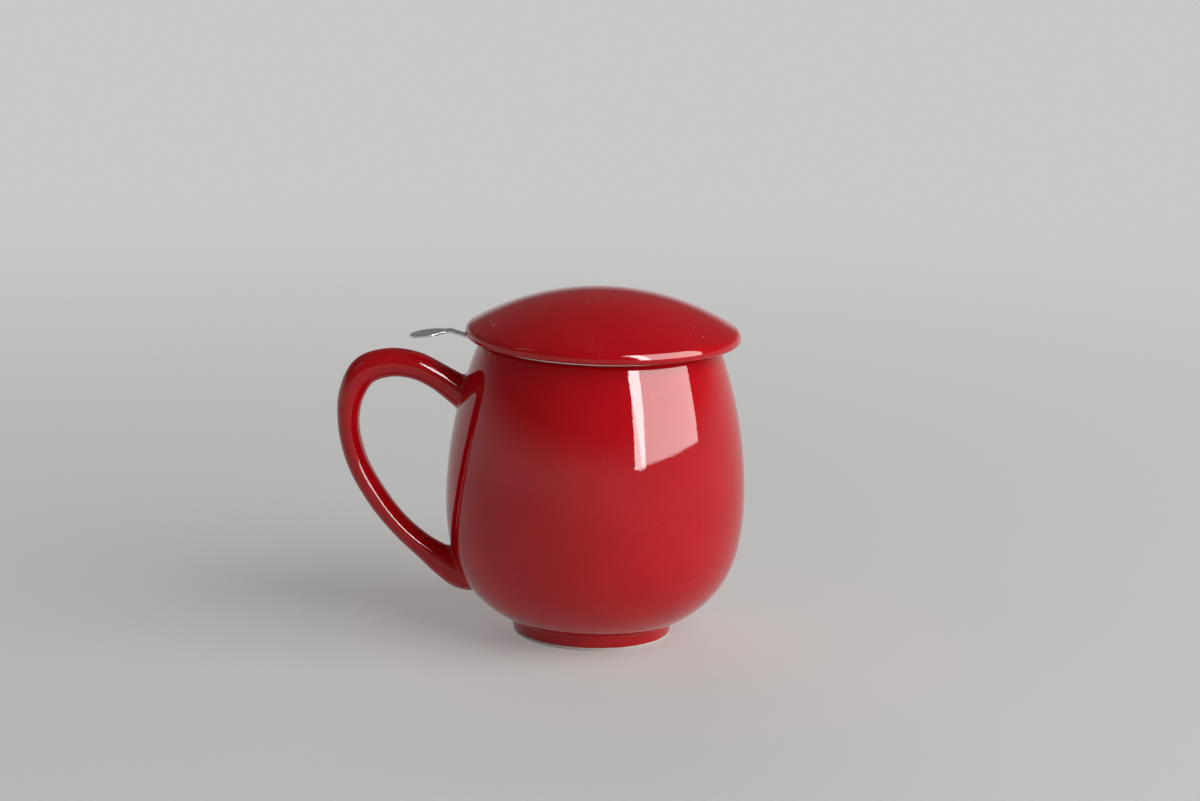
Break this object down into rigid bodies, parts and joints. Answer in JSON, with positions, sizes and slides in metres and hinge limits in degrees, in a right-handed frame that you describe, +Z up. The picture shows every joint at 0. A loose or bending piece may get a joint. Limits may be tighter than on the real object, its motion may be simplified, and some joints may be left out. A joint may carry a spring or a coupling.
{
  "type": "lidded infuser mug",
  "caption": "Bellied porcelain tea mug with loop handle, loose domed lid and a steel infuser basket with a thumb tab that hangs from the rim.",
  "frame": {"origin": "on the mug's axis at the plane the foot ring stands on", "axes": "+Z up along the mug's axis; the handle points to -X, so the X-Z plane is the plane of symmetry; +X is the side away from the handle"},
  "size_m": [0.1287, 0.094, 0.1098],
  "materials": {
    "red_glaze": "deep red transparent-looking gloss glaze with fine pinholes",
    "stainless_steel": "satin rolled sheet with polished edges",
    "bare_clay": "unglazed fired porcelain, dry and matt, on the sole of the foot ring"
  },
  "bodies": {
    "mug": {"mug_body": "red_glaze", "mug_handle": "red_glaze"},
    "infuser": {"infuser_collar": "stainless_steel", "infuser_tab": "stainless_steel", "infuser_wall": "stainless_steel", "infuser_floor": "stainless_steel", "infuser_hoop": "stainless_steel"},
    "lid": {"lid": "red_glaze"}
  },
  "joints": [
    {"name": "infuser_lift", "type": "slide", "parent": "mug", "child": "infuser", "axis": [0, 0, 1], "range_m": [0, 0.08]},
    {"name": "lid_lift", "type": "slide", "parent": "infuser", "child": "lid", "axis": [0, 0, 1], "range_m": [0, 0.04]}
  ]
}
